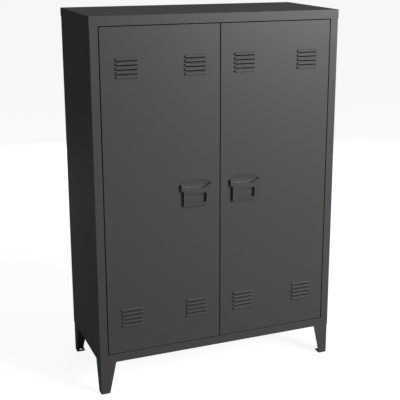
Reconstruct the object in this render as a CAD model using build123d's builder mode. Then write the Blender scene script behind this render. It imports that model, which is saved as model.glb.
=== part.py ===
"""Two-door sheet-steel locker cabinet on four tapered legs.

Frame: X runs across the front, left to right; the front faces -Y; Z is up.
The origin is on the floor, under the middle of the whole outline.
All lengths are in millimetres.
"""

from build123d import *
import os

os.makedirs("parts", exist_ok=True)

# ---------------------------------------------------------------- driving sizes
overall_width = 800.0
overall_height = 1170.0
body_depth = 353.0
leg_height = 103.5

sheet = 0.8  # folded steel of the body and the doors
leg_sheet = 1.5
fit_gap = 0.2  # play between two sheets that lie on each other
door_gap = 3.0  # shadow gap all round each door
fold_radius = 1.2  # outer radius of a folded corner
running_gap = 0.05  # play between a pin or bolt and what turns on it

cap_overhang = 1.0
cap_skirt = 28.0
stile_width = 25.5
stile_depth = 30.0
rail_height = 26.0
door_depth = 18.0
door_lip = 12.0

handle_reach = 9.0  # how far the pull stands out of the door
handle_offset = 81.5  # middle of the pull from the middle of the cabinet

# ---------------------------------------------------------------- derived places
half_width = overall_width / 2
half_body = half_width - cap_overhang
front = -(body_depth + cap_overhang - handle_reach) / 2  # face of stiles and doors
rear = front + body_depth  # outer face of the back panel
body_top = overall_height - sheet - fit_gap
skin_rear = rear - sheet - fit_gap  # rear end of the side panels
inner_half = half_body - sheet

floor_top = leg_height + rail_height
header_bottom = overall_height - cap_skirt
stile_inner = half_body - stile_width

door_bottom = floor_top + door_gap
door_top = header_bottom - door_gap
door_free = door_gap / 2  # free edge, next to the middle of the cabinet
door_hinged = stile_inner - door_gap  # hinged edge, next to the stile
door_middle = (door_free + door_hinged) / 2


# ---------------------------------------------------------------- helpers
def plate(x_limits, y_limits, z_limits, mode=Mode.ADD):
    """Add or cut one flat wall, given by its limits along X, Y and Z."""
    limits = (x_limits, y_limits, z_limits)
    middle = tuple((low + high) / 2 for low, high in limits)
    size = tuple(abs(high - low) for low, high in limits)
    with Locations(middle):
        Box(*size, mode=mode)


def edges_at(part, axis, place):
    """The straight edges of a part along one axis whose middles share a place across it."""
    reach = 0.01
    across = [index for index, part_of in enumerate(axis.direction) if abs(part_of) < reach]
    found = []
    for edge in part.edges().filter_by(axis):
        middle = tuple(edge.center())
        offsets = [abs(middle[index] - place[rank]) for rank, index in enumerate(across)]
        if max(offsets) < reach:
            found.append(edge)
    return found


def save(builder, name):
    """Name a finished piece and write it as one STEP file."""
    builder.part.label = name
    export_step(builder.part, f"parts/{name}.step")


sides = {"left": -1, "right": 1}

# ---------------------------------------------------------------- top cap
with BuildPart() as top_cap:
    plate(
        (-half_width, half_width),
        (front - cap_overhang, rear + cap_overhang),
        (overall_height - cap_skirt, overall_height),
    )
    fillet(top_cap.edges().filter_by(Axis.Z), fold_radius)
    fillet(top_cap.faces().sort_by(Axis.Z)[-1].edges(), fold_radius)
    plate(
        (-half_width + sheet, half_width - sheet),
        (front - cap_overhang + sheet, rear + cap_overhang - sheet),
        (overall_height - cap_skirt, overall_height - sheet),
        Mode.SUBTRACT,
    )
save(top_cap, "top_cap")

# ---------------------------------------------------------------- side panels
# One folded sheet a side: outer skin, front stile, reveal beside the door, slotted
# return behind it, and a slotted flange at the rear that carries the back panel.
reveal_bottom = floor_top + fit_gap
reveal_top = header_bottom - fit_gap
return_width = 17.0
rear_flange = 24.0
slot_pitch = 50.0
slot_first = 193.0
slot_rows = 18
slot_width = 3.0
slot_height = 14.0
slot_inset = 9.0  # slot from the free edge of its return or flange
front_slot_x = stile_inner + slot_inset
rear_slot_x = half_body - rear_flange + slot_inset
screw_hole_radius = 1.65
back_screw_inset = 6.5
back_screw_first = 170.0
back_screw_pitch = 228.0
back_screw_rows = 5
back_screw_x = half_body - back_screw_inset
back_screw_z = [back_screw_first + back_screw_pitch * row for row in range(back_screw_rows)]


def make_side_panel(side, name):
    """One side panel; side is -1 for the left one and 1 for the right one."""
    with BuildPart() as panel:
        plate(
            (side * half_body, side * inner_half),
            (front, skin_rear),
            (leg_height, body_top),
        )
        plate(
            (side * half_body, side * stile_inner),
            (front, front + sheet),
            (leg_height, body_top),
        )
        fillet(edges_at(panel, Axis.Z, (side * half_body, front)), fold_radius)
        plate(
            (side * stile_inner, side * (stile_inner + sheet)),
            (front, front + stile_depth),
            (reveal_bottom, reveal_top),
        )
        plate(
            (side * stile_inner, side * (stile_inner + return_width)),
            (front + stile_depth - sheet, front + stile_depth),
            (reveal_bottom, reveal_top),
        )
        plate(
            (side * half_body, side * (half_body - rear_flange)),
            (skin_rear - sheet, skin_rear),
            (leg_height, body_top),
        )
        slot_z = [slot_first + slot_pitch * row for row in range(slot_rows)]
        with Locations(*[(side * front_slot_x, front + stile_depth, z) for z in slot_z]):
            Box(slot_width, 4 * sheet, slot_height, mode=Mode.SUBTRACT)
        with Locations(*[(side * rear_slot_x, skin_rear, z) for z in slot_z]):
            Box(slot_width, 4 * sheet, slot_height, mode=Mode.SUBTRACT)
        for z in back_screw_z:
            with Locations(Plane.XZ.offset(-skin_rear) * Location((side * back_screw_x, z, 0))):
                Hole(screw_hole_radius, depth=2 * sheet)
    save(panel, name)


for word, side in sides.items():
    make_side_panel(side, f"{word}_side_panel")

# ---------------------------------------------------------------- back panel
swage_depth = 2.0
swage_width = 26.0
swage_spacing = 220.0
swage_taper = 30.0
swage_end = 120.0  # plain sheet left above and below each swage
back_edge = 1.0  # back panel stands in from the body's side by this
back_bottom = leg_height + back_edge
back_middle_z = (back_bottom + body_top) / 2
back_height = body_top - back_bottom
swage_length = back_height - 2 * swage_end
rail_screw_x = [-240.0, 0.0, 240.0]
rail_screw_z = leg_height + rail_height / 2

with BuildPart() as back_panel:
    plate(
        (-half_body + back_edge, half_body - back_edge),
        (rear - sheet, rear),
        (back_bottom, body_top),
    )
    swage_places = [(spot * swage_spacing, back_middle_z) for spot in (-1, 0, 1)]
    with BuildSketch(Plane.XZ.offset(-rear)) as swage_mouth:
        with Locations(*swage_places):
            SlotOverall(swage_length, swage_width, rotation=90)
    extrude(amount=swage_depth + sheet, taper=swage_taper)
    with BuildSketch(Plane.XZ.offset(-rear)) as swage_hollow:
        with Locations(*swage_places):
            SlotOverall(swage_length - 2 * sheet, swage_width - 2 * sheet, rotation=90)
    extrude(amount=swage_depth, taper=swage_taper, mode=Mode.SUBTRACT)
    for side in sides.values():
        for z in back_screw_z:
            with Locations(Plane.XZ.offset(-rear) * Location((side * back_screw_x, z, 0))):
                Hole(screw_hole_radius, depth=2 * sheet)
    for x in rail_screw_x:
        with Locations(Plane.XZ.offset(-rear) * Location((x, rail_screw_z, 0))):
            Hole(screw_hole_radius, depth=2 * sheet)
save(back_panel, "back_panel")

# ---------------------------------------------------------------- base panel
# An inverted tray. Its front flange is the rail under the doors.
pin_radius = 3.0
pin_from_edge = 14.0  # hinge axis from the door's hinged edge
pin_from_face = 7.5  # hinge axis behind the door's face
hinge_x = door_hinged - pin_from_edge
hinge_y = front + pin_from_face
leg_bolt_radius = 2.9
leg_bolt_inset_x = (14.0, 40.0)  # bolts from the leg's outer face, across the cabinet
leg_bolt_inset_y = 40.0  # and front to back
base_front = front + sheet + fit_gap
base_rear = skin_rear - sheet - fit_gap
leg_outer_x = inner_half - fit_gap
leg_front = front + sheet + fit_gap
leg_rear = skin_rear - sheet - fit_gap
leg_wide = 50.5  # width of a leg's leaf where it meets the body
leg_clearance = 2.0
rear_lip_half = leg_outer_x - leg_wide - leg_clearance  # rear lip ends short of the legs


def leg_bolt_places(side, end):
    """Plan places of the two bolts of one leg; end is -1 at the front and 1 at the rear."""
    corner_y = leg_front if end < 0 else leg_rear
    return [
        (side * (leg_outer_x - inset_x), corner_y - end * leg_bolt_inset_y)
        for inset_x in leg_bolt_inset_x
    ]


all_leg_bolts = [
    place for side in sides.values() for end in (-1, 1) for place in leg_bolt_places(side, end)
]

with BuildPart() as base_panel:
    plate(
        (-inner_half + fit_gap, inner_half - fit_gap),
        (base_front, base_rear),
        (floor_top - sheet, floor_top),
    )
    plate(
        (-stile_inner + fit_gap, stile_inner - fit_gap),
        (front, base_front + sheet),
        (floor_top - sheet, floor_top),
    )
    plate(
        (-stile_inner + fit_gap, stile_inner - fit_gap),
        (front, front + sheet),
        (leg_height, floor_top),
    )
    plate(
        (-rear_lip_half, rear_lip_half),
        (base_rear - sheet, base_rear),
        (leg_height, floor_top),
    )
    fillet(edges_at(base_panel, Axis.X, (front, floor_top)), fold_radius / 2)
    with Locations(*[(side * hinge_x, hinge_y, floor_top) for side in sides.values()]):
        Hole(pin_radius, depth=2 * sheet)
    with Locations(*[(x, y, floor_top) for x, y in all_leg_bolts]):
        Hole(leg_bolt_radius + fit_gap, depth=2 * sheet)
    for x in rail_screw_x:
        with Locations(Plane.XZ.offset(-base_rear) * Location((x, rail_screw_z, 0))):
            Hole(screw_hole_radius, depth=2 * sheet)
save(base_panel, "base_panel")

# ---------------------------------------------------------------- header rail
# A channel across the top of the door opening, hidden behind the cap's skirt.
header_depth = 42.0
header_front_height = 24.0
header_rear_height = 14.0
header_front = front + sheet + fit_gap

with BuildPart() as header_rail:
    plate(
        (-inner_half + fit_gap, inner_half - fit_gap),
        (header_front, header_front + header_depth),
        (header_bottom, header_bottom + sheet),
    )
    plate(
        (-inner_half + fit_gap, inner_half - fit_gap),
        (header_front, header_front + sheet),
        (header_bottom, header_bottom + header_front_height),
    )
    plate(
        (-inner_half + fit_gap, inner_half - fit_gap),
        (header_front + header_depth - sheet, header_front + header_depth),
        (header_bottom, header_bottom + header_rear_height),
    )
    with Locations(*[(side * hinge_x, hinge_y, header_bottom + sheet) for side in sides.values()]):
        Hole(pin_radius, depth=2 * sheet)
save(header_rail, "header_rail")

# ---------------------------------------------------------------- legs and feet
leg_side_wide = 54.0  # the side leaf is a little wider than the front one
leg_narrow = 28.5  # both leaves where they meet the foot
leg_top = floor_top - sheet - fit_gap
foot_height = 2.0
foot_size = 28.0
foot_corner = 3.0
foot_edge = 0.5
foot_hole_radius = 6.0
foot_hole_inset = 15.0
foot_plate_size = 28.0
top_flange_size = 49.0
pin_notch_radius = 8.5  # clears the head of the hinge pin above a front leg


def make_leg(side, end, name):
    """One folded leg, narrowing downwards, with a bolting flange and a foot plate."""
    corner_x = side * leg_outer_x
    corner_y = leg_front if end < 0 else leg_rear
    inward_x = -side
    inward_y = -end
    front_leaf = [
        (corner_x, foot_height),
        (corner_x, leg_top),
        (corner_x + inward_x * leg_wide, leg_top),
        (corner_x + inward_x * leg_wide, leg_height),
        (corner_x + inward_x * leg_narrow, foot_height),
    ]
    side_leaf = [
        (corner_y, foot_height),
        (corner_y, leg_top),
        (corner_y + inward_y * leg_side_wide, leg_top),
        (corner_y + inward_y * leg_side_wide, leg_height),
        (corner_y + inward_y * leg_narrow, foot_height),
    ]
    with BuildPart() as leg:
        with BuildSketch(Plane.XZ.offset(-corner_y)):
            with BuildLine():
                Polyline(*front_leaf, close=True)
            make_face()
        extrude(amount=-inward_y * leg_sheet)
        with BuildSketch(Plane.YZ.offset(corner_x)):
            with BuildLine():
                Polyline(*side_leaf, close=True)
            make_face()
        extrude(amount=inward_x * leg_sheet)
        fillet(edges_at(leg, Axis.Z, (corner_x, corner_y)), fold_radius)
        plate(
            (corner_x + inward_x * leg_sheet, corner_x + inward_x * foot_plate_size),
            (corner_y + inward_y * leg_sheet, corner_y + inward_y * foot_plate_size),
            (foot_height, foot_height + leg_sheet),
        )
        plate(
            (corner_x + inward_x * leg_sheet, corner_x + inward_x * top_flange_size),
            (corner_y + inward_y * leg_sheet, corner_y + inward_y * top_flange_size),
            (leg_top - leg_sheet, leg_top),
        )
        foot_hole = (
            corner_x + inward_x * foot_hole_inset,
            corner_y + inward_y * foot_hole_inset,
            foot_height + leg_sheet,
        )
        with Locations(foot_hole):
            Hole(foot_hole_radius, depth=2 * leg_sheet)
        with Locations(*[(x, y, leg_top) for x, y in leg_bolt_places(side, end)]):
            Hole(leg_bolt_radius + fit_gap, depth=2 * leg_sheet)
        if end < 0:
            with BuildSketch(Plane.XY.offset(leg_top)):
                with Locations((side * hinge_x, hinge_y)):
                    Circle(pin_notch_radius)
                with Locations((corner_x, corner_y + leg_sheet / 2)):
                    Rectangle(2 * leg_wide, leg_sheet, mode=Mode.SUBTRACT)
            extrude(amount=-leg_sheet, mode=Mode.SUBTRACT)
    save(leg, name)


def make_foot(side, end, name):
    """One moulded glide under a leg, with the anchor hole through it."""
    corner_x = side * leg_outer_x
    corner_y = leg_front if end < 0 else leg_rear
    with BuildPart() as foot:
        plate(
            (corner_x, corner_x - side * foot_size),
            (corner_y, corner_y - end * foot_size),
            (0, foot_height),
        )
        fillet(foot.edges().filter_by(Axis.Z), foot_corner)
        chamfer(foot.faces().sort_by(Axis.Z)[0].edges(), foot_edge)
        with Locations(
            (corner_x - side * foot_hole_inset, corner_y - end * foot_hole_inset, foot_height)
        ):
            Hole(foot_hole_radius, depth=foot_height)
    save(foot, name)


for end_word, end in {"front": -1, "rear": 1}.items():
    for word, side in sides.items():
        make_leg(side, end, f"{end_word}_{word}_leg")
        make_foot(side, end, f"{end_word}_{word}_foot")

# ---------------------------------------------------------------- leg bolts and nuts
bolt_head_radius = 5.5
bolt_head_height = 3.4
nut_height = 5.0
nut_radius = 5.6
bolt_head_round = 2.2
bolt_key_radius = 2.2  # hexagonal socket in the head
bolt_key_depth = 1.8
bolt_end = 2.0  # thread that shows below the nut
bolt_bottom = leg_top - leg_sheet - nut_height - bolt_end

with BuildPart() as leg_bolts:
    with Locations(*[(x, y, floor_top) for x, y in all_leg_bolts]):
        Cylinder(
            bolt_head_radius, bolt_head_height, align=(Align.CENTER, Align.CENTER, Align.MIN)
        )
    fillet(leg_bolts.faces().filter_by(Axis.Z).group_by(Axis.Z)[-1].edges(), bolt_head_round)
    with Locations(*[(x, y, floor_top) for x, y in all_leg_bolts]):
        Cylinder(
            leg_bolt_radius,
            floor_top - bolt_bottom,
            align=(Align.CENTER, Align.CENTER, Align.MAX),
        )
    with BuildSketch(Plane.XY.offset(floor_top + bolt_head_height)):
        with Locations(*all_leg_bolts):
            RegularPolygon(bolt_key_radius, 6)
    extrude(amount=-bolt_key_depth, mode=Mode.SUBTRACT)
save(leg_bolts, "leg_bolts")

with BuildPart() as leg_nuts:
    with BuildSketch(Plane.XY.offset(leg_top - leg_sheet)):
        with Locations(*all_leg_bolts):
            RegularPolygon(nut_radius, 6)
            Circle(leg_bolt_radius + running_gap, mode=Mode.SUBTRACT)
    extrude(amount=-nut_height)
save(leg_nuts, "leg_nuts")

# ---------------------------------------------------------------- back screws
screw_head_radius = 3.6
screw_head_height = 2.0
screw_head_round = 1.4
recess_length = 3.6  # cross recess in a screw's head
recess_width = 0.9
recess_depth = 1.2
screw_radius = 1.5
screw_length = 4.5
back_screw_places = [(side * back_screw_x, z) for side in sides.values() for z in back_screw_z]
back_screw_places += [(x, rail_screw_z) for x in rail_screw_x]


def cross_recess(face, places):
    """Cut the cross recess into the heads whose tops lie on one plane."""
    with BuildSketch(face) as cross:
        with Locations(*places):
            Rectangle(recess_length, recess_width)
            Rectangle(recess_width, recess_length)
    extrude(cross.sketch, amount=recess_depth, mode=Mode.SUBTRACT)


with BuildPart() as back_screws:
    with BuildSketch(Plane.XZ.offset(-rear)):
        with Locations(*back_screw_places):
            Circle(screw_head_radius)
    extrude(amount=-screw_head_height)
    fillet(back_screws.faces().filter_by(Axis.Y).group_by(Axis.Y)[-1].edges(), screw_head_round)
    with BuildSketch(Plane.XZ.offset(-rear)):
        with Locations(*back_screw_places):
            Circle(screw_radius)
    extrude(amount=screw_length)
    cross_recess(Plane.XZ.offset(-rear - screw_head_height), back_screw_places)
save(back_screws, "back_screws")

# ---------------------------------------------------------------- shelves and clips
shelf_levels = {"lower": 380.0, "middle": 630.0, "upper": 880.0}
shelf_play = 4.0  # shelf to the uprights, front and rear
shelf_end_play = 2.0  # shelf to the side panels
shelf_round = 0.6
shelf_front = front + stile_depth + shelf_play
shelf_rear = skin_rear - sheet - shelf_play
shelf_half = inner_half - shelf_end_play
shelf_lip = 25.0
shelf_side_lip = 14.0


def make_shelf(level, name):
    """One folded shelf, with deep lips at the front and rear and shallow ones at the ends."""
    with BuildPart() as shelf:
        plate((-shelf_half, shelf_half), (shelf_front, shelf_rear), (level - shelf_lip, level))
        plate(
            (-shelf_half + sheet, shelf_half - sheet),
            (shelf_front + sheet, shelf_rear - sheet),
            (level - shelf_lip, level - sheet),
            Mode.SUBTRACT,
        )
        plate(
            (-shelf_half, shelf_half),
            (shelf_front + sheet, shelf_rear - sheet),
            (level - shelf_lip, level - shelf_side_lip),
            Mode.SUBTRACT,
        )
        fillet(shelf.edges().filter_by(Axis.X).group_by(Axis.Z)[-1], shelf_round)
    save(shelf, name)


for word, level in shelf_levels.items():
    make_shelf(level, f"{word}_shelf")

# Each clip hooks through a slot and puts a tongue under the shelf's top sheet.
clip_width = 12.0
clip_sheet = 1.2
clip_drop = 18.0
clip_tongue = 16.0
clip_play = 0.15
clip_hook = clip_play + sheet
clip_hook_height = 4.0

with BuildPart() as shelf_clips:
    for level in shelf_levels.values():
        under = level - shelf_lip
        for side in sides.values():
            stations = (
                (side * front_slot_x, front + stile_depth, 1),
                (side * rear_slot_x, skin_rear - sheet, -1),
            )
            for x, wall, inward in stations:
                near = wall + inward * clip_play
                far = near + inward * clip_sheet
                plate(
                    (x - clip_width / 2, x + clip_width / 2),
                    (near, far),
                    (under - clip_drop, under - clip_play),
                )
                plate(
                    (x - clip_width / 2, x + clip_width / 2),
                    (near, near + inward * clip_tongue),
                    (under - clip_sheet - clip_play, under - clip_play),
                )
                hook_z = under - clip_drop + clip_hook_height
                plate(
                    (x - clip_sheet, x + clip_sheet),
                    (near, near - inward * clip_hook),
                    (hook_z, hook_z + clip_hook_height),
                )
save(shelf_clips, "shelf_clips")

# ---------------------------------------------------------------- hinge pins
pin_into_door = 14.0
collar_radius = 6.0
bush_radius = 4.5
bush_flange_radius = 6.5
bush_flange = 1.2
bush_length = 11.0
collar_play = 0.1
collar_height = door_gap - bush_flange - collar_play
pin_head_radius = 5.0
pin_head_height = 1.6
pin_lead = 0.8  # chamfer on a pin's tip


def make_pins(side, word):
    """The fixed lower and upper hinge pins of one door."""
    centred_up = (Align.CENTER, Align.CENTER, Align.MIN)
    centred_down = (Align.CENTER, Align.CENTER, Align.MAX)
    axis_x = side * hinge_x
    with BuildPart() as lower_pin:
        with Locations((axis_x, hinge_y, floor_top - sheet)):
            Cylinder(pin_radius, sheet + door_gap + pin_into_door, align=centred_up)
            Cylinder(pin_head_radius, pin_head_height, align=centred_down)
        chamfer(lower_pin.faces().sort_by(Axis.Z)[-1].edges(), pin_lead)
        with Locations((axis_x, hinge_y, floor_top)):
            Cylinder(collar_radius, collar_height, align=centred_up)
    save(lower_pin, f"{word}_lower_hinge_pin")
    with BuildPart() as upper_pin:
        with Locations((axis_x, hinge_y, header_bottom + sheet)):
            Cylinder(pin_radius, sheet + door_gap + pin_into_door, align=centred_down)
            Cylinder(pin_head_radius, pin_head_height, align=centred_up)
        chamfer(upper_pin.faces().sort_by(Axis.Z)[0].edges(), pin_lead)
    save(upper_pin, f"{word}_upper_hinge_pin")


def make_bushes(side, word):
    """The two flanged bushes that turn on one door's pins."""
    axis_x = side * hinge_x
    with BuildPart() as bushes:
        for end_z, inward, outward in (
            (door_bottom, Align.MIN, Align.MAX),
            (door_top, Align.MAX, Align.MIN),
        ):
            with Locations((axis_x, hinge_y, end_z)):
                Cylinder(bush_radius, bush_length, align=(Align.CENTER, Align.CENTER, inward))
                Cylinder(
                    bush_flange_radius, bush_flange, align=(Align.CENTER, Align.CENTER, outward)
                )
        with Locations((axis_x, hinge_y, (door_bottom + door_top) / 2)):
            Cylinder(pin_radius + running_gap, overall_height, mode=Mode.SUBTRACT)
    save(bushes, f"{word}_door_bushes")


# ---------------------------------------------------------------- door louvres
louvre_length = 72.0
louvre_height = 9.4
louvre_reach = 4.6
louvre_taper = 24.0  # slope of a rib's flanks, degrees
louvre_round = 1.9  # softening of a rib's crest
louvre_mouth = 3.2  # the slit under a rib, below its middle line
louvre_slot_length = 62.0
louvre_slot_height = 3.0  # slit through the sheet between two ribs
louvre_count = 5
louvre_pitch = 12.9
louvre_spread = 105.8  # louvre group from the door's middle line
louvre_from_top = 119.5
louvre_from_bottom = 113.5
louvre_levels = (door_top - louvre_from_top, door_bottom + louvre_from_bottom)


def louvre_form(inset):
    """A long raised rib with round ends, shrunk by inset; it stands on the face plane."""
    with BuildPart() as form:
        with BuildSketch(Plane.XZ):
            SlotOverall(louvre_length - 2 * inset, louvre_height - 2 * inset)
        extrude(amount=louvre_reach - inset, taper=louvre_taper)
        fillet(form.faces().sort_by(Axis.Y)[0].edges(), louvre_round - inset / 2)
    return form.part


louvre_rib = louvre_form(0.0)
louvre_hollow = louvre_form(sheet)


# ---------------------------------------------------------------- handle shape
grip_z = 640.0  # lowest line of the curved grip edge
grip_half_flat = 22.0
grip_half_width = 50.0
grip_end_z = 654.5
grip_end_bottom = 636.0
grip_wall = 3.0
handle_corner = 3.0  # lower corners of the frame
handle_edge = 1.2  # softening round the front of the pull
frame_half_width = 42.0
frame_shoulder_z = 630.5
frame_bottom = 585.0

cup_half_width = 50.0
cup_top = 671.5
cup_rim = 0.5
cup_dish = 1.0  # hollow of the oval, in front of the pocket
cup_wall = 1.4  # thickness of the moulding behind the pocket
bowl_inset = 4.5
pocket_depth = 8.0  # how far the finger pocket goes behind the door's face
pocket_inset = 3.0  # pocket's outer wall from the rim of the oval
pocket_half = 40.0
pocket_rise = 1.6  # pocket mouth above the grip's edge, in the middle
pocket_side_rise = 9.0  # and at its ends

window_half_width = 33.8
window_top = 626.5
window_bottom = 592.4
window_corner = 3.0
window_slope = 4.0  # draft of the window's walls, degrees
window_ease = 2.0  # window's rear opening is this much smaller each side

handle_screw_x = 38.0
handle_screw_z = 608.0
handle_screw_radius = 1.9
handle_pilot_radius = 1.6
handle_skin = 2.0  # moulding left in front of a screw


def grip_outline(x_mid):
    """Front outline of the pull: a dipped grip edge over a rectangular frame."""
    right = [
        (grip_half_flat, grip_z),
        (grip_half_width, grip_end_z),
        (grip_half_width, grip_end_bottom),
        (frame_half_width, frame_shoulder_z),
        (frame_half_width, frame_bottom),
    ]
    left = [(-x, z) for x, z in reversed(right)]
    return [(x_mid + x, z) for x, z in right + left]


def cup_oval(x_mid, inset):
    """Oval of the finger cup in the door's plane, shrunk by inset."""
    with Locations((x_mid, (cup_top + grip_end_bottom) / 2)):
        Ellipse(cup_half_width - inset, (cup_top - grip_end_bottom) / 2 - inset)


def make_handle(side, word):
    """One moulded pull with a finger cup behind its grip; both doors' pulls are alike."""
    x_mid = side * handle_offset
    face = Plane.XZ.offset(-front)
    with BuildPart() as handle:
        with BuildSketch(face):
            with BuildLine():
                Polyline(*grip_outline(x_mid), close=True)
            make_face()
        extrude(amount=handle_reach)
        fillet(handle.edges().filter_by(Axis.Y).group_by(Axis.Z)[0], handle_corner)
        fillet(handle.faces().sort_by(Axis.Y)[0].edges(), handle_edge)
        with BuildSketch(face):
            with Locations((x_mid, (window_top + window_bottom) / 2)):
                RectangleRounded(
                    2 * (window_half_width - window_ease),
                    window_top - window_bottom - 2 * window_ease,
                    window_corner,
                )
        extrude(amount=handle_reach + sheet, taper=-window_slope, mode=Mode.SUBTRACT)
        with BuildSketch(face):
            with BuildLine():
                Polyline(
                    (x_mid - grip_half_width + grip_wall, cup_top),
                    (x_mid - grip_half_width + grip_wall, grip_end_bottom + grip_wall),
                    (x_mid - frame_half_width + grip_wall, frame_shoulder_z + grip_wall),
                    (x_mid + frame_half_width - grip_wall, frame_shoulder_z + grip_wall),
                    (x_mid + grip_half_width - grip_wall, grip_end_bottom + grip_wall),
                    (x_mid + grip_half_width - grip_wall, cup_top),
                    close=True,
                )
            make_face()
        extrude(amount=handle_reach - grip_wall, mode=Mode.SUBTRACT)
        with BuildSketch(face):
            cup_oval(x_mid, 0.0)
        extrude(amount=cup_rim)
        with BuildSketch(face):
            cup_oval(x_mid, pocket_inset)
        extrude(amount=-(pocket_depth + cup_wall))
        bowl = scale(
            Sphere(1.0, mode=Mode.PRIVATE),
            by=(
                cup_half_width - bowl_inset,
                cup_rim + cup_dish,
                (cup_top - grip_end_bottom) / 2 - bowl_inset,
            ),
            mode=Mode.PRIVATE,
        )
        bowl_place = (x_mid, front - cup_rim, (cup_top + grip_end_bottom) / 2)
        with Locations(bowl_place):
            add(bowl, mode=Mode.SUBTRACT)
        with BuildSketch(face):
            with BuildLine():
                Polyline(
                    (x_mid - pocket_half, grip_end_bottom + grip_wall),
                    (x_mid - pocket_half, grip_z + pocket_side_rise),
                    (x_mid - grip_half_flat, grip_z + pocket_rise),
                    (x_mid + grip_half_flat, grip_z + pocket_rise),
                    (x_mid + pocket_half, grip_z + pocket_side_rise),
                    (x_mid + pocket_half, grip_end_bottom + grip_wall),
                    close=True,
                )
            make_face()
        extrude(amount=-pocket_depth, mode=Mode.SUBTRACT)
        for x in (x_mid - handle_screw_x, x_mid + handle_screw_x):
            with Locations(face * Location((x, handle_screw_z, 0), (0, 180, 0))):
                Hole(handle_pilot_radius, depth=handle_reach - handle_skin)
    save(handle, f"{word}_handle")


def make_handle_screws(side, word):
    """The two screws that hold a pull from inside the door."""
    x_mid = side * handle_offset
    places = [(x_mid - handle_screw_x, handle_screw_z), (x_mid + handle_screw_x, handle_screw_z)]
    with BuildPart() as screws:
        with BuildSketch(Plane.XZ.offset(-front - sheet)):
            with Locations(*places):
                Circle(screw_head_radius)
        extrude(amount=-screw_head_height)
        with BuildSketch(Plane.XZ.offset(-front - sheet)):
            with Locations(*places):
                Circle(handle_pilot_radius)
        extrude(amount=sheet + handle_reach - 2 * handle_skin)
        cross_recess(Plane.XZ.offset(-front - sheet - screw_head_height), places)
    save(screws, f"{word}_handle_screws")


# ---------------------------------------------------------------- doors
def make_door_panel(side, word):
    """One folded door pan with its louvres, pull opening and hinge holes."""
    x_mid = side * handle_offset
    with BuildPart() as door:
        plate(
            (side * door_free, side * door_hinged),
            (front, front + door_depth),
            (door_bottom, door_top),
        )
        fillet(door.faces().sort_by(Axis.Y)[0].edges(), fold_radius / 2)
        plate(
            (side * (door_free + sheet), side * (door_hinged - sheet)),
            (front + sheet, front + door_depth - sheet),
            (door_bottom + sheet, door_top - sheet),
            Mode.SUBTRACT,
        )
        plate(
            (side * (door_free + door_lip), side * (door_hinged - door_lip)),
            (front + 2 * sheet, front + door_depth),
            (door_bottom + door_lip, door_top - door_lip),
            Mode.SUBTRACT,
        )
        groups = [
            (side * door_middle + spread, front, level)
            for spread in (-louvre_spread, louvre_spread)
            for level in louvre_levels
        ]
        rows = [louvre_pitch * (row - (louvre_count - 1) / 2) for row in range(louvre_count)]
        middles = [(x, y, level + row) for x, y, level in groups for row in rows]
        with Locations(*middles):
            add(louvre_rib)
        mouth_z = -(louvre_mouth + louvre_height) / 2
        mouth_height = louvre_height - louvre_mouth
        throat_height = 2 * louvre_mouth
        with Locations(*middles):
            add(louvre_hollow, mode=Mode.SUBTRACT)
            Box(louvre_slot_length, 2 * sheet, throat_height, mode=Mode.SUBTRACT)
            with Locations((0, -louvre_reach / 2, mouth_z)):
                Box(louvre_slot_length, louvre_reach, mouth_height, mode=Mode.SUBTRACT)
        valley_z = -louvre_mouth - louvre_slot_height / 2
        with Locations(*[(x, y, level + row) for x, y, level in groups for row in rows[1:]]):
            with Locations((0, 0, valley_z)):
                Box(louvre_slot_length, 2 * sheet, louvre_slot_height, mode=Mode.SUBTRACT)
        with BuildSketch(Plane.XZ.offset(-front)):
            cup_oval(x_mid, pocket_inset - fit_gap)
        extrude(amount=-2 * sheet, mode=Mode.SUBTRACT)
        for x in (x_mid - handle_screw_x, x_mid + handle_screw_x):
            with Locations(Plane.XZ.offset(-front) * Location((x, handle_screw_z, 0))):
                Hole(handle_screw_radius, depth=2 * sheet)
        with Locations((side * hinge_x, hinge_y, (door_bottom + door_top) / 2)):
            Cylinder(bush_radius, overall_height, mode=Mode.SUBTRACT)
    save(door, f"{word}_door_panel")


stiffener_width = 46.0
stiffener_foot = 12.0
stiffener_depth = 12.0


def make_stiffener(side, word):
    """A hat-section rib welded up the inside of a door."""
    inner_face = front + sheet
    x_mid = side * door_middle
    bottom = door_bottom + 2 * sheet
    top = door_top - 2 * sheet
    half = stiffener_width / 2
    crown = half - stiffener_foot
    with BuildPart() as stiffener:
        for way in (-1, 1):
            plate(
                (x_mid + way * crown, x_mid + way * half),
                (inner_face, inner_face + sheet),
                (bottom, top),
            )
            plate(
                (x_mid + way * (crown - sheet), x_mid + way * crown),
                (inner_face, inner_face + stiffener_depth),
                (bottom, top),
            )
        plate(
            (x_mid - crown, x_mid + crown),
            (inner_face + stiffener_depth - sheet, inner_face + stiffener_depth),
            (bottom, top),
        )
    save(stiffener, f"{word}_door_stiffener")


# ---------------------------------------------------------------- catches
strike_sheet = 1.0
strike_width = 40.0
strike_height = 9.0
strike_drop = 1.0
catch_offset = 60.0
catch_play = 0.3
catch_width = 46.0
catch_height = 13.0
catch_length = 15.0
catch_face = front + door_depth + strike_sheet + catch_play
magnet_width = 30.0
magnet_height = 6.0
magnet_depth = 8.0
magnet_stand = 0.8  # magnet's face proud of its housing
magnet_round = 0.4
catch_round = 1.5
strike_corner = 2.0


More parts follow.
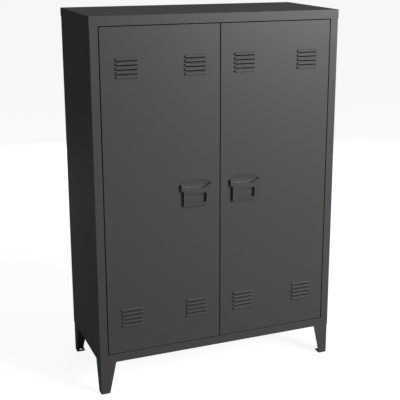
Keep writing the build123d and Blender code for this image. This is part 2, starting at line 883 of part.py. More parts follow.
def make_catch(side, word):
    """A magnetic catch under the header rail, its magnet, and the door's strike plate."""
    x_mid = side * catch_offset
    magnet_z = door_top - strike_drop - strike_height / 2
    with BuildPart() as housing:
        plate(
            (x_mid - catch_width / 2, x_mid + catch_width / 2),
            (catch_face + magnet_stand, catch_face + catch_length),
            (header_bottom - catch_height, header_bottom),
        )
        fillet(housing.faces().sort_by(Axis.Z)[0].edges(), catch_round)
        plate(
            (x_mid - magnet_width / 2, x_mid + magnet_width / 2),
            (catch_face, catch_face + magnet_depth),
            (magnet_z - magnet_height / 2, magnet_z + magnet_height / 2),
            Mode.SUBTRACT,
        )
    save(housing, f"{word}_catch_housing")
    with BuildPart() as magnet:
        plate(
            (x_mid - magnet_width / 2, x_mid + magnet_width / 2),
            (catch_face, catch_face + magnet_depth),
            (magnet_z - magnet_height / 2, magnet_z + magnet_height / 2),
        )
        fillet(magnet.faces().sort_by(Axis.Y)[0].edges(), magnet_round)
    save(magnet, f"{word}_catch_magnet")
    with BuildPart() as strike:
        plate(
            (x_mid - strike_width / 2, x_mid + strike_width / 2),
            (front + door_depth, front + door_depth + strike_sheet),
            (door_top - strike_drop - strike_height, door_top - strike_drop),
        )
        fillet(strike.edges().filter_by(Axis.Y), strike_corner)
    save(strike, f"{word}_strike_plate")


for word, side in sides.items():
    make_door_panel(side, word)
    make_stiffener(side, word)
    make_bushes(side, word)
    make_handle(side, word)
    make_handle_screws(side, word)
    make_pins(side, word)
    make_catch(side, word)

print("front face y", front, "rear y", rear)
print("hinge axis x", hinge_x, "y", hinge_y)
print("foot hole x", leg_outer_x - foot_hole_inset)
print("foot hole y", leg_front + foot_hole_inset, leg_rear - foot_hole_inset)
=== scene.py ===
# %% [markdown]
# # Two-door steel locker cabinet
# The cabinet is folded from thin steel sheet: a lid, two sides, a back, a floor tray on four legs, and two
# hinged doors with pressed louvres and a moulded pull. The CAD model gives every size and every joint, and
# this script dresses it: it adds finishes, and it remakes the pieces whose real shape is softer or finer
# than the plain CAD solid. Loading the frame first means that each later step can ask it for places.

import math

import bmesh
import bpy
from mathutils import Matrix, Vector


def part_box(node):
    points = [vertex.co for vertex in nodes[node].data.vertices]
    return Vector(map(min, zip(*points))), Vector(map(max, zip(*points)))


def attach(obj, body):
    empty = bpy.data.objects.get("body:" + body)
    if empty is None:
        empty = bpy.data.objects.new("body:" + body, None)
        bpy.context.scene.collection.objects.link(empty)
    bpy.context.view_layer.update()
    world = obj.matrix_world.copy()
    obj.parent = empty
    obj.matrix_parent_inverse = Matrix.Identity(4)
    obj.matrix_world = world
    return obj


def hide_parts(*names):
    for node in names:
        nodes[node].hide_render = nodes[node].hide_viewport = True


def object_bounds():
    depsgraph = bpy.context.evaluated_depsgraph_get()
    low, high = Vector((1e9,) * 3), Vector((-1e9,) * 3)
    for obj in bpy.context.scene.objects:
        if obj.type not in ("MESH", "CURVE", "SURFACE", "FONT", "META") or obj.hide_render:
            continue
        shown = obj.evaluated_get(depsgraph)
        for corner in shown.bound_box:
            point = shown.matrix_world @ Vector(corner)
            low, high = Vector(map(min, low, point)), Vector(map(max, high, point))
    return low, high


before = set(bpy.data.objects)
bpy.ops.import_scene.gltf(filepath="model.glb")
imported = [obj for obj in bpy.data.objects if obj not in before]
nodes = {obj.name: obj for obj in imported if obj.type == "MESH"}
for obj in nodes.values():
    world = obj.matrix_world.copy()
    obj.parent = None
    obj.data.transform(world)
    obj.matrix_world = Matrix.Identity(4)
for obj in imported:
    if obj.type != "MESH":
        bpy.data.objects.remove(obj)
cad_low, cad_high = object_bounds()
print("cabinet box, metres:", [round(size, 4) for size in cad_high - cad_low])

# %% [markdown]
# ## Camera
# A long lens stands in front of the cabinet's left corner, above its middle, and looks slightly down. The
# lens is shifted a little instead of tilting the camera further, as is done for tall buildings, because a
# shift keeps the upright edges of a tall object nearly parallel.

# %% Camera
MM = 0.001
eye = Vector((-1.0080, -2.6250, 1.3800))
turn_right = math.radians(22.99)
tilt_down = math.radians(14.74)
roll = math.radians(0.32)

camera_data = bpy.data.cameras.new("studio_camera")
camera_data.sensor_width = 36.0
camera_data.lens = 79.6
camera_data.shift_x = -0.0745
camera_data.shift_y = -0.0700
camera = bpy.data.objects.new("studio_camera", camera_data)
camera.location = eye
level_view = Matrix.Rotation(-turn_right, 4, "Z") @ Matrix.Rotation(math.pi / 2 - tilt_down, 4, "X")
camera.rotation_euler = (level_view @ Matrix.Rotation(roll, 4, "Z")).to_euler()
bpy.context.scene.collection.objects.link(camera)
bpy.context.scene.camera = camera
print("camera stands", round((eye - (cad_low + cad_high) / 2).length, 2), "m from the middle")

# %% [markdown]
# ## Floor, surroundings and light
# The floor is a large pale sheet that runs into white surroundings, so the cabinet stands in an empty
# studio. One broad soft lamp stands in front and to the right: it lights the doors evenly and leaves the
# left side in shade, which shows the folds. A second, smaller one hangs high in front and draws a thin
# highlight along every rounded edge, and a third keeps the back readable. The surroundings look white to
# the camera but give little light, because satin paint would otherwise mirror them on every face.

# %% Studio helpers
scene = bpy.context.scene
scene.view_settings.view_transform = "Standard"


def node_in(tree, kind, **values):
    """Add a shader node and set its properties and plain socket values by name."""
    node = tree.nodes.new(kind)
    for key, value in values.items():
        if hasattr(node, key):
            setattr(node, key, value)
        else:
            node.inputs[key.replace("_", " ")].default_value = value
    return node


def soft_lamp(name, place, target, size, power):
    """A square area lamp that points from one place at another."""
    lamp_data = bpy.data.lights.new(name, "AREA")
    lamp_data.size = size
    lamp_data.energy = power
    lamp = bpy.data.objects.new(name, lamp_data)
    lamp.location = place
    lamp.rotation_euler = (Vector(target) - Vector(place)).to_track_quat("-Z", "Y").to_euler()
    scene.collection.objects.link(lamp)


# %% Surroundings
WHITE = (1.0, 1.0, 1.0, 1.0)
BLACK = (0.0, 0.0, 0.0, 1.0)
world = bpy.data.worlds.new("studio")
world.use_nodes = True
scene.world = world
sky = world.node_tree
sky.nodes.clear()
seen = node_in(sky, "ShaderNodeBackground", Color=WHITE, Strength=1.0)
lit = node_in(sky, "ShaderNodeBackground", Color=(0.93, 0.96, 1.0, 1.0), Strength=0.12)
ray = node_in(sky, "ShaderNodeLightPath")
choose = node_in(sky, "ShaderNodeMixShader")
sky_out = node_in(sky, "ShaderNodeOutputWorld")
sky.links.new(ray.outputs["Is Camera Ray"], choose.inputs[0])
sky.links.new(lit.outputs[0], choose.inputs[1])
sky.links.new(seen.outputs[0], choose.inputs[2])
sky.links.new(choose.outputs[0], sky_out.inputs[0])

# %% Floor
floor_paint = bpy.data.materials.new("studio_floor")
floor_paint.use_nodes = True
floor_tree = floor_paint.node_tree
floor_tree.nodes.clear()
floor_matt = node_in(floor_tree, "ShaderNodeBsdfDiffuse", Color=(0.40, 0.40, 0.40, 1.0))
floor_glow = node_in(floor_tree, "ShaderNodeEmission", Color=WHITE, Strength=0.88)
floor_ray = node_in(floor_tree, "ShaderNodeLightPath")
floor_dark = node_in(floor_tree, "ShaderNodeEmission", Color=BLACK, Strength=0.0)
floor_pick = node_in(floor_tree, "ShaderNodeMixShader")
floor_sum = node_in(floor_tree, "ShaderNodeAddShader")
floor_out = node_in(floor_tree, "ShaderNodeOutputMaterial")
floor_tree.links.new(floor_ray.outputs["Is Camera Ray"], floor_pick.inputs[0])
floor_tree.links.new(floor_dark.outputs[0], floor_pick.inputs[1])
floor_tree.links.new(floor_glow.outputs[0], floor_pick.inputs[2])
floor_tree.links.new(floor_pick.outputs[0], floor_sum.inputs[0])
floor_tree.links.new(floor_matt.outputs[0], floor_sum.inputs[1])
floor_tree.links.new(floor_sum.outputs[0], floor_out.inputs[0])

bpy.ops.mesh.primitive_circle_add(vertices=96, radius=30.0, fill_type="NGON", location=(0, 0, 0))
floor = bpy.context.object
floor.name = "studio_floor"
floor.data.materials.append(floor_paint)
print("floor across:", round(floor.dimensions.x, 1), "m")

# %% Lamps
middle = (cad_low + cad_high) / 2
soft_lamp("front_softbox", (1.9, -2.8, 1.7), (0.0, cad_low.y, 0.8), 1.4, 74)
soft_lamp("high_softbox", (0.9, -2.0, 3.3), (0.0, cad_low.y, 0.9), 0.7, 14)
soft_lamp("rear_softbox", (0.9, 3.2, 0.6), middle, 1.0, 45)

# %% [markdown]
# ## Powder-coat grain
# Powder coat is melted plastic powder. It dries with a faint orange-peel skin, and its tone drifts by a few
# percent over a large sheet. Both are noise at different sizes, so one shader node group holds them, and
# each paint places the group with its own values.


# %% Shader group: powder grain
def new_group(name, inputs, outputs):
    """A shader node group with named number inputs (name: value) and number outputs."""
    group = bpy.data.node_groups.new(name, "ShaderNodeTree")
    for label, value in inputs.items():
        socket = group.interface.new_socket(label, in_out="INPUT", socket_type="NodeSocketFloat")
        socket.default_value = value
    for label in outputs:
        group.interface.new_socket(label, in_out="OUTPUT", socket_type="NodeSocketFloat")
    entry = group.nodes.new("NodeGroupInput")
    leave = group.nodes.new("NodeGroupOutput")
    return group, entry, leave


def math_node(tree, operation, first, second=None, clamp=False):
    """A Math node fed by sockets or by plain numbers; returns its output socket."""
    node = tree.nodes.new("ShaderNodeMath")
    node.operation = operation
    node.use_clamp = clamp
    for slot, value in enumerate((first, second)):
        if isinstance(value, bpy.types.NodeSocket):
            tree.links.new(value, node.inputs[slot])
        elif value is not None:
            node.inputs[slot].default_value = value
    return node.outputs[0]


def noise_node(tree, coordinates, scale, detail, roughness):
    """Noise over the given coordinates, with its scale fed by a socket."""
    node = node_in(tree, "ShaderNodeTexNoise", Detail=detail, Roughness=roughness)
    tree.links.new(coordinates, node.inputs["Vector"])
    tree.links.new(scale, node.inputs["Scale"])
    return node.outputs["Fac"]


grain, grain_in, grain_out = new_group(
    "powder grain",
    {"Peel Scale": 900.0, "Drift Scale": 3.0, "Fleck Scale": 2600.0},
    ("Height", "Drift", "Fleck"),
)
grain_place = grain.nodes.new("ShaderNodeTexCoord").outputs["Object"]
peel = noise_node(grain, grain_place, grain_in.outputs["Peel Scale"], 2.0, 0.45)
drift = noise_node(grain, grain_place, grain_in.outputs["Drift Scale"], 3.0, 0.55)
fleck = noise_node(grain, grain_place, grain_in.outputs["Fleck Scale"], 1.0, 0.5)
grain.links.new(peel, grain_out.inputs["Height"])
grain.links.new(drift, grain_out.inputs["Drift"])
grain.links.new(fleck, grain_out.inputs["Fleck"])
print("group inputs:", [item.name for item in grain.interface.items_tree])

# %% [markdown]
# ## Edge wear and painted highlight
# A folded edge is where paint is thinnest and where hands and trolleys rub it, so it looks a little paler.
# The paler edge also stands in for the thin highlight that a rounded fold or louvre crest catches, so it is
# partly wear and partly a painted highlight.
# Cycles can find edges by itself: a Bevel node gives the normal that a rounded edge would have, and where
# that differs from the true normal there is an edge. Painting the edges by hand would need UV maps.


# %% Shader group: edge wear and painted highlight
wear_and_highlight, wear_and_highlight_in, wear_and_highlight_out = new_group(
    "edge wear",
    {"Width": 0.0012, "Strength": 1.0, "Break Scale": 60.0},
    ("Mask",),
)
wear_and_highlight_place = wear_and_highlight.nodes.new("ShaderNodeTexCoord").outputs["Object"]
rounded = wear_and_highlight.nodes.new("ShaderNodeBevel")
rounded.samples = 4
wear_and_highlight.links.new(wear_and_highlight_in.outputs["Width"], rounded.inputs["Radius"])
true_normal = wear_and_highlight.nodes.new("ShaderNodeNewGeometry").outputs["Normal"]
alike = wear_and_highlight.nodes.new("ShaderNodeVectorMath")
alike.operation = "DOT_PRODUCT"
wear_and_highlight.links.new(rounded.outputs[0], alike.inputs[0])
wear_and_highlight.links.new(true_normal, alike.inputs[1])
edge = math_node(wear_and_highlight, "SUBTRACT", 1.0, alike.outputs["Value"], clamp=True)
broken = noise_node(wear_and_highlight, wear_and_highlight_place, wear_and_highlight_in.outputs["Break Scale"], 4.0, 0.6)
patchy = math_node(wear_and_highlight, "MULTIPLY", edge, broken)
wear_and_highlight_mask = math_node(wear_and_highlight, "MULTIPLY", patchy, wear_and_highlight_in.outputs["Strength"], clamp=True)
wear_and_highlight.links.new(wear_and_highlight_mask, wear_and_highlight_out.inputs["Mask"])
print("group inputs:", [item.name for item in wear_and_highlight.interface.items_tree])

# %% [markdown]
# ## Dust
# Dust settles only on faces that look up. The mask is the upward part of the surface normal, broken up by
# noise, so shelves and the lid carry a little and the doors carry none.


# %% Shader group: settled dust
dust, dust_in, dust_out = new_group(
    "settled dust",
    {"Amount": 0.15, "Patch Scale": 14.0},
    ("Mask",),
)
dust_place = dust.nodes.new("ShaderNodeTexCoord").outputs["Object"]
upward = dust.nodes.new("ShaderNodeSeparateXYZ")
dust.links.new(dust.nodes.new("ShaderNodeNewGeometry").outputs["Normal"], upward.inputs[0])
facing_up = math_node(dust, "POWER", math_node(dust, "MAXIMUM", upward.outputs["Z"], 0.0), 4.0)
patches = noise_node(dust, dust_place, dust_in.outputs["Patch Scale"], 6.0, 0.65)
dusty = math_node(dust, "MULTIPLY", facing_up, patches)
dust_mask = math_node(dust, "MULTIPLY", dusty, dust_in.outputs["Amount"], clamp=True)
dust.links.new(dust_mask, dust_out.inputs["Mask"])
print("group inputs:", [item.name for item in dust.interface.items_tree])

# %% [markdown]
# ## Finishes
# Every finish is a Principled shader with the groups in front of it. The paint's base tone is mixed with a
# paler tone on edges, partly wear and partly a painted highlight, and with grey dust on flat tops; the
# grain drives roughness and bump.


# %% Material helpers
def place_group(tree, group, **values):
    """Put a node group into a material and set its inputs by name."""
    node = tree.nodes.new("ShaderNodeGroup")
    node.node_tree = group
    for key, value in values.items():
        node.inputs[key.replace("_", " ")].default_value = value
    return node


def mix_colour(tree, factor, first, second):
    """Mix two colours, each a socket or an RGB tuple, by a mask; returns the result socket."""
    node = tree.nodes.new("ShaderNodeMix")
    node.data_type = "RGBA"
    tree.links.new(factor, node.inputs[0])
    for socket, value in ((node.inputs[6], first), (node.inputs[7], second)):
        if isinstance(value, bpy.types.NodeSocket):
            tree.links.new(value, socket)
        else:
            socket.default_value = (*value, 1.0)
    return node.outputs[2]


def span(tree, value, low, high):
    """Map a 0 to 1 mask onto low to high."""
    node = node_in(tree, "ShaderNodeMapRange")
    tree.links.new(value, node.inputs["Value"])
    node.inputs["To Min"].default_value = low
    node.inputs["To Max"].default_value = high
    return node.outputs[0]


def new_finish(name):
    """A material with a Principled shader; returns (material, tree, shader)."""
    material = bpy.data.materials.new(name)
    material.use_nodes = True
    tree = material.node_tree
    return material, tree, tree.nodes["Principled BSDF"]


def add_relief(tree, shader, height, strength, depth):
    """Feed a height into the shader's normal through a Bump node."""
    relief = node_in(tree, "ShaderNodeBump", Strength=strength, Distance=depth)
    tree.links.new(height, relief.inputs["Height"])
    tree.links.new(relief.outputs[0], shader.inputs["Normal"])


# %% Powder coat
satin = (0.36, 0.48)  # roughness from the smoothest to the dullest patch
peel_depth = 0.03 * MM
dust_tone = (0.30, 0.29, 0.27)


def powder_coat(name, tone, pale_wear_and_highlight_tone):
    """Satin powder coat on folded steel."""
    material, tree, shader = new_finish(name)
    skin = place_group(tree, grain, Peel_Scale=700.0, Drift_Scale=2.6, Fleck_Scale=2400.0)
    # Strong edge mask: the paler edge tone is partly wear and partly a painted highlight along folds and
    # louvre crests.
    edges = place_group(tree, wear_and_highlight, Width=0.0012, Strength=2.2, Break_Scale=45.0)
    settled = place_group(tree, dust, Amount=0.25, Patch_Scale=16.0)
    faded = tuple(0.88 * c for c in tone)
    drifted = mix_colour(tree, span(tree, skin.outputs["Drift"], 0.25, 0.75), tone, faded)
    flecked = mix_colour(tree, span(tree, skin.outputs["Fleck"], 0.0, 0.22), drifted, pale_wear_and_highlight_tone)
    rubbed_and_highlit = mix_colour(tree, edges.outputs["Mask"], flecked, pale_wear_and_highlight_tone)
    dusted = mix_colour(tree, settled.outputs["Mask"], rubbed_and_highlit, dust_tone)
    tree.links.new(dusted, shader.inputs["Base Color"])
    tree.links.new(span(tree, skin.outputs["Drift"], *satin), shader.inputs["Roughness"])
    add_relief(tree, shader, skin.outputs["Height"], 0.6, peel_depth)
    return material


# The second tone is the paler edge tone: partly wear, partly a painted highlight on rounded edges.
body_paint = powder_coat("body_powder_coat", (0.085, 0.082, 0.076), (0.16, 0.155, 0.145))
handle_paint = powder_coat("pull_paint", (0.080, 0.077, 0.072), (0.15, 0.145, 0.135))
print("paints:", body_paint.name, handle_paint.name)


# %% Metals and plastics
fine_relief = 0.02 * MM


def bright_metal(name, tone, rough):
    """Plated or blackened steel, a little stained."""
    material, tree, shader = new_finish(name)
    skin = place_group(tree, grain, Peel_Scale=500.0, Drift_Scale=90.0, Fleck_Scale=3000.0)
    dull = tuple(0.6 * c for c in tone)
    stained = mix_colour(tree, span(tree, skin.outputs["Drift"], 0.1, 0.9), tone, dull)
    tree.links.new(stained, shader.inputs["Base Color"])
    tree.links.new(span(tree, skin.outputs["Fleck"], *rough), shader.inputs["Roughness"])
    shader.inputs["Metallic"].default_value = 1.0
    add_relief(tree, shader, skin.outputs["Height"], 0.4, fine_relief)
    return material


def moulded_plastic(name, tone, rough):
    """Injection-moulded plastic with a fine spark-eroded texture."""
    material, tree, shader = new_finish(name)
    skin = place_group(tree, grain, Peel_Scale=1800.0, Drift_Scale=30.0, Fleck_Scale=4000.0)
    edges = place_group(tree, wear_and_highlight, Width=0.0006, Strength=1.0, Break_Scale=120.0)
    settled = place_group(tree, dust, Amount=0.2, Patch_Scale=60.0)
    scuff_tone = tuple(2.2 * c + 0.02 for c in tone)
    scuffed = mix_colour(tree, edges.outputs["Mask"], tone, scuff_tone)
    dusted = mix_colour(tree, settled.outputs["Mask"], scuffed, dust_tone)
    tree.links.new(dusted, shader.inputs["Base Color"])
    tree.links.new(span(tree, skin.outputs["Drift"], *rough), shader.inputs["Roughness"])
    add_relief(tree, shader, skin.outputs["Height"], 0.5, fine_relief)
    return material


finishes = {
    "body_paint": body_paint,
    "handle_paint": handle_paint,
    "foot_plastic": moulded_plastic("glide_plastic", (0.012, 0.012, 0.012), (0.40, 0.55)),
    "zinc_plated_steel": bright_metal("zinc_plate", (0.62, 0.63, 0.62), (0.25, 0.45)),
    "blackened_steel": bright_metal("blackened_steel", (0.05, 0.048, 0.045), (0.35, 0.55)),
    "nylon": moulded_plastic("hinge_nylon", (0.03, 0.03, 0.03), (0.35, 0.5)),
    "catch_plastic": moulded_plastic("catch_plastic", (0.02, 0.02, 0.02), (0.45, 0.6)),
    "magnet_steel": bright_metal("magnet_steel", (0.35, 0.35, 0.34), (0.3, 0.5)),
}
print("finishes:", sorted(finishes))

# %% [markdown]
# ## Fasteners
# Screws, bolts and nuts are turned or headed parts: one outline spun round an axis. The recess in a head is
# the same idea with a radius that changes with the angle, a four-pointed star for a cross recess and a
# hexagon for a socket key. One of each is made as a small mesh; the rows come in the next step.


# %% Outlines across a turned part
def star(angle):
    """Radius of a cross recess at one angle, 1 at its four points."""
    sharp = 0.62
    across = abs(math.cos(angle)) ** sharp + abs(math.sin(angle)) ** sharp
    return across ** (-1.0 / sharp)


def hexagon(angle):
    """Radius of a hexagon at one angle, 1 at its corners."""
    sixth = math.pi / 3
    return math.cos(sixth / 2) / math.cos(angle % sixth - sixth / 2)


def round_bar(angle):
    """Radius of a plain circle."""
    return 1.0


# %% Turned parts
ring_steps = 48
turned_crease = math.radians(32)  # faces that meet at more than this keep a sharp edge


def face_outwards(mesh):
    """Make every face of a closed mesh point out of it."""
    shaped = bmesh.new()
    shaped.from_mesh(mesh)
    bmesh.ops.recalc_face_normals(shaped, faces=shaped.faces)
    shaped.to_mesh(mesh)
    shaped.free()


def turned(name, outline):
    """Spin an outline of (radius, height, shape) round Z; it starts and ends near the axis."""
    steps = ring_steps
    points = []
    for radius, height, shape in outline:
        for step in range(steps):
            angle = 2 * math.pi * step / steps
            reach = radius * shape(angle) * MM
            points.append((reach * math.cos(angle), reach * math.sin(angle), height * MM))
    rings = len(outline)
    faces = [tuple(range(steps))[::-1]]
    for ring in range(rings - 1):
        for step in range(steps):
            near, far = ring * steps + step, ring * steps + (step + 1) % steps
            faces.append((near, far, far + steps, near + steps))
    faces.append(tuple(range((rings - 1) * steps, rings * steps)))
    mesh = bpy.data.meshes.new(name)
    mesh.from_pydata(points, [], faces)
    mesh.validate()
    face_outwards(mesh)
    mesh.shade_smooth()
    mesh.set_sharp_from_angle(angle=turned_crease)
    piece = bpy.data.objects.new(name, mesh)
    scene.collection.objects.link(piece)
    return piece


def headed_screw(name, head, rise, shank, length, recess):
    """A domed head from its seat (height 0) up, a recess in it, and a shank below."""
    recess_shape, recess_radius, recess_depth = recess
    return turned(
        name,
        [
            (shank * 0.55, -length, round_bar),
            (shank, -length + shank * 0.5, round_bar),
            (shank, -0.02, round_bar),
            (head * 0.98, 0.0, round_bar),
            (head, 0.12 * rise, round_bar),
            (head * 0.97, 0.38 * rise, round_bar),
            (head * 0.87, 0.66 * rise, round_bar),
            (head * 0.70, 0.88 * rise, round_bar),
            (head * 0.62, 0.96 * rise, round_bar),
            (recess_radius, rise, recess_shape),
            (recess_radius * 0.72, rise - recess_depth, recess_shape),
            (recess_radius * 0.10, rise - recess_depth * 1.05, round_bar),
        ],
    )


# %% One of each fastener
pan_screw = headed_screw("pan_screw", 3.6, 2.0, 1.5, 4.5, (star, 2.1, 1.2))
button_bolt = headed_screw("button_bolt", 5.5, 3.4, 2.9, 12.9, (hexagon, 2.2, 1.8))
pull_screw = headed_screw("pull_screw", 3.6, 2.0, 1.6, 7.8, (star, 2.1, 1.2))
hex_nut = turned(
    "hex_nut",
    [
        (2.95, 0.05, round_bar),
        (4.6, 0.0, round_bar),
        (5.6, 0.35, hexagon),
        (5.6, 4.65, hexagon),
        (4.6, 5.0, round_bar),
        (2.95, 4.95, round_bar),
    ],
)
print("screw faces:", len(pan_screw.data.polygons), "nut faces:", len(hex_nut.data.polygons))

# %% [markdown]
# ## Rows of fasteners
# A row is the same part again and again, so Geometry Nodes set one instance on each point. Every point
# carries the direction its head faces. No fitter stops every screw at the same angle, so each instance is
# also turned about its own axis by a seeded random amount.


# %% Geometry Nodes: fasteners on points
def fastener_tree():
    """Points in, one turned copy of a fastener on each out."""
    tree = bpy.data.node_groups.new("fasteners on points", "GeometryNodeTree")
    for label, kind in (
        ("Places", "NodeSocketGeometry"),
        ("Fastener", "NodeSocketObject"),
        ("Most Turn", "NodeSocketFloat"),
        ("Seed", "NodeSocketInt"),
        ("Finish", "NodeSocketMaterial"),
    ):
        tree.interface.new_socket(label, in_out="INPUT", socket_type=kind)
    tree.interface.new_socket("Fasteners", in_out="OUTPUT", socket_type="NodeSocketGeometry")
    entry = tree.nodes.new("NodeGroupInput")
    leave = tree.nodes.new("NodeGroupOutput")
    source = tree.nodes.new("GeometryNodeObjectInfo")
    aim = tree.nodes.new("GeometryNodeInputNamedAttribute")
    aim.data_type = "FLOAT_VECTOR"
    aim.inputs["Name"].default_value = "aim"
    align = tree.nodes.new("FunctionNodeAlignRotationToVector")
    align.axis = "Z"
    chance = tree.nodes.new("FunctionNodeRandomValue")
    chance.data_type = "FLOAT"
    twist = tree.nodes.new("FunctionNodeAxisAngleToRotation")
    spin = tree.nodes.new("FunctionNodeRotateRotation")
    spin.rotation_space = "LOCAL"
    copies = tree.nodes.new("GeometryNodeInstanceOnPoints")
    real = tree.nodes.new("GeometryNodeRealizeInstances")
    finish = tree.nodes.new("GeometryNodeSetMaterial")
    link = tree.links.new
    link(entry.outputs["Fastener"], source.inputs["Object"])
    link(aim.outputs["Attribute"], align.inputs["Vector"])
    link(entry.outputs["Most Turn"], chance.inputs[3])
    link(entry.outputs["Seed"], chance.inputs["Seed"])
    link(chance.outputs[1], twist.inputs["Angle"])
    link(align.outputs[0], spin.inputs[0])
    link(twist.outputs[0], spin.inputs[1])
    link(entry.outputs["Places"], copies.inputs["Points"])
    link(source.outputs["Geometry"], copies.inputs["Instance"])
    link(spin.outputs[0], copies.inputs["Rotation"])
    link(copies.outputs[0], real.inputs[0])
    link(real.outputs[0], finish.inputs["Geometry"])
    link(entry.outputs["Finish"], finish.inputs["Material"])
    link(finish.outputs[0], leave.inputs[0])
    return tree


fasteners_on_points = fastener_tree()
print("tree nodes:", len(fasteners_on_points.nodes))


# %% One row as a plain mesh
def fastener_row(name, body, node, fastener, places, finish_slot, most_turn=1.5, seed=7):
    """Put a fastener on every (place, direction), as one plain mesh that stands for a CAD node."""
    points = bpy.data.meshes.new(name)
    points.from_pydata([place for place, aim in places], [], [])
    facing = points.attributes.new("aim", "FLOAT_VECTOR", "POINT")
    for index, (place, aim) in enumerate(places):
        facing.data[index].vector = aim
    holder = bpy.data.objects.new(name + "_points", points)
    scene.collection.objects.link(holder)
    modifier = holder.modifiers.new("row", "NODES")
    modifier.node_group = fasteners_on_points
    sockets = {item.name: item.identifier for item in fasteners_on_points.interface.items_tree}
    modifier[sockets["Fastener"]] = fastener
    modifier[sockets["Most Turn"]] = most_turn
    modifier[sockets["Seed"]] = seed
    modifier[sockets["Finish"]] = finishes[finish_slot]
    shown = holder.evaluated_get(bpy.context.evaluated_depsgraph_get())
    mesh = bpy.data.meshes.new_from_object(shown)
    holder.modifiers.clear()
    bpy.data.objects.remove(holder)
    row = bpy.data.objects.new(name, mesh)
    scene.collection.objects.link(row)
    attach(row, body)
    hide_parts(node)
    print(name, len(places), "pieces,", len(mesh.polygons), "faces")


# %% Back screws
OUT_BACK, UP, DOWN = (0, 1, 0), (0, 0, 1), (0, 0, -1)
head_radius = 3.6 * MM
back_rows = 5
row_pitch = 228 * MM
rail_spacing = 240 * MM
low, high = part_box("back_screws")
back_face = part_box("back_panel")[1].y
column_x = high.x - head_radius
top_row = high.z - head_radius
rail_row = low.z + head_radius
back_places = [
    ((side * column_x, back_face, top_row - row_pitch * row), OUT_BACK)
    for side in (-1, 1)
    for row in range(back_rows)
]
back_places += [((spot * rail_spacing, back_face, rail_row), OUT_BACK) for spot in (-1, 0, 1)]
fastener_row("back_panel_screws", "cabinet", "back_screws", pan_screw, back_places, "blackened_steel")

# %% Leg bolts and nuts
bolt_radius = 5.5 * MM
bolt_spacing = 26 * MM
low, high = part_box("leg_bolts")
tray_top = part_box("base_panel")[1].z
nut_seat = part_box("leg_nuts")[1].z
bolt_spots = [
    (side * (high.x - bolt_radius - bolt_spacing * inner), along)
    for side in (-1, 1)
    for inner in (0, 1)
    for along in (low.y + bolt_radius, high.y - bolt_radius)
]
bolt_places = [((x, y, tray_top), UP) for x, y in bolt_spots]
nut_places = [((x, y, nut_seat), DOWN) for x, y in bolt_spots]
fastener_row("floor_bolts", "cabinet", "leg_bolts", button_bolt, bolt_places, "zinc_plated_steel")
fastener_row("floor_nuts", "cabinet", "leg_nuts", hex_nut, nut_places, "zinc_plated_steel", seed=3)

# %% Pull screws
pull_head_height = 2.0 * MM
for side in ("left", "right"):
    low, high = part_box(f"{side}_handle_screws")
    seat = high.y - pull_head_height
    middle_z = (low.z + high.z) / 2
    screw_columns = (low.x + head_radius, high.x - head_radius)
    pull_places = [((x, seat, middle_z), OUT_BACK) for x in screw_columns]
    fastener_row(
        f"{side}_pull_screws",
        f"{side}_door",
        f"{side}_handle_screws",
        pull_screw,
        pull_places,
        "blackened_steel",
    )

# %% [markdown]
# ## Shelf clips
# A shelf clip is a short strip of spring steel, bent once: a leg that lies on the slotted stile and a
# tongue under the shelf. Its small hook goes through the slot, out of sight, and is left out. The clip is
# drawn as one bent strip, given its thickness by Solidify and its soft edges by Bevel, because a real one
# is bent from strip too. The same node tree then sets it on its twelve places. The clips of the rear
# flanges face the other way, so there is a second clip, mirrored front to back.

# %% One clip
clip_half = 6.0 * MM
clip_thick = 1.2 * MM
clip_drop = 18.0 * MM
clip_reach = 15.6 * MM
clip_bend = 2.4 * MM
clip_soft = 0.25 * MM
clip_crease = math.radians(35)
bend_steps = 6
stile_play = 0.2 * MM


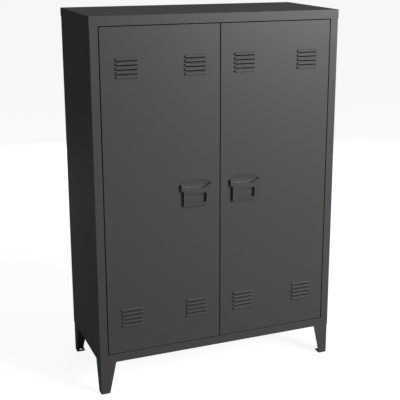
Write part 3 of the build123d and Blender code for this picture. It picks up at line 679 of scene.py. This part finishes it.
def bent_strip(name, inward):
    """A clip whose tongue points along inward (1 or -1, along Y); the tongue's top is at height 0."""
    path = [(-clip_drop, 0.0), (-clip_drop * 0.6, 0.0), (-clip_bend, 0.0)]
    for step in range(1, bend_steps + 1):
        angle = math.pi / 2 * step / bend_steps
        path.append((clip_bend * (math.sin(angle) - 1), clip_bend * (1 - math.cos(angle))))
    path += [(0.0, clip_reach * 0.6), (0.0, clip_reach)]
    columns = [clip_half * share for share in (-1.0, -0.5, 0.0, 0.5, 1.0)]
    points = [(x, inward * y, z) for z, y in path for x in columns]
    faces = []
    for row in range(len(path) - 1):
        for column in range(len(columns) - 1):
            near = row * len(columns) + column
            faces.append((near, near + 1, near + 1 + len(columns), near + len(columns)))
    mesh = bpy.data.meshes.new(name)
    mesh.from_pydata(points, [], faces)
    strip = bpy.data.objects.new(name, mesh)
    scene.collection.objects.link(strip)
    solid = strip.modifiers.new("thickness", "SOLIDIFY")
    solid.thickness = clip_thick
    solid.offset = -inward
    soft = strip.modifiers.new("soft edges", "BEVEL")
    soft.width = clip_soft
    soft.segments = 2
    shown = strip.evaluated_get(bpy.context.evaluated_depsgraph_get())
    finished = bpy.data.meshes.new_from_object(shown)
    strip.modifiers.clear()
    strip.data = finished
    face_outwards(finished)
    finished.shade_smooth()
    finished.set_sharp_from_angle(angle=clip_crease)
    return strip


# %% Clips on their places
hook_reach = 1.0 * MM  # the hook's length behind the wall that a clip lies on
front_shift = 1.5 * MM  # front clips stand this much nearer the middle
levels = ("lower", "middle", "upper")
low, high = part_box("shelf_clips")
front_wall, rear_wall = low.y + hook_reach, high.y - hook_reach
front_x, rear_x = high.x - clip_half - front_shift, high.x - clip_half
shelf_bottoms = [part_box(f"{level}_shelf")[0].z - stile_play for level in levels]
front_clip, rear_clip = bent_strip("front_clip", 1), bent_strip("rear_clip", -1)
for clip, x_place, wall in ((front_clip, front_x, front_wall), (rear_clip, rear_x, rear_wall)):
    clip_places = [((side * x_place, wall, z), UP) for side in (-1, 1) for z in shelf_bottoms]
    fastener_row(
        f"{clip.name}s",
        "cabinet",
        "shelf_clips",
        clip,
        clip_places,
        "zinc_plated_steel",
        most_turn=0.0,
    )

# %% Clear the patterns
patterns = (pan_screw, button_bolt, pull_screw, hex_nut, front_clip, rear_clip)
for pattern in patterns:
    bpy.data.objects.remove(pattern)
print("patterns removed:", len(patterns))

# %% [markdown]
# ## Dress the CAD pieces
# The pieces whose CAD shape is already the real one keep it and only get their finish. The finish goes on
# the object's own material slot, so the CAD mesh itself stays as it was loaded.

# %% Assign finishes
for name, piece in nodes.items():
    for place, material in enumerate(piece.data.materials):
        piece.material_slots[place].link = "OBJECT"
        piece.material_slots[place].material = finishes[material.name.split(".")[0]]
print("dressed", len(nodes), "pieces")
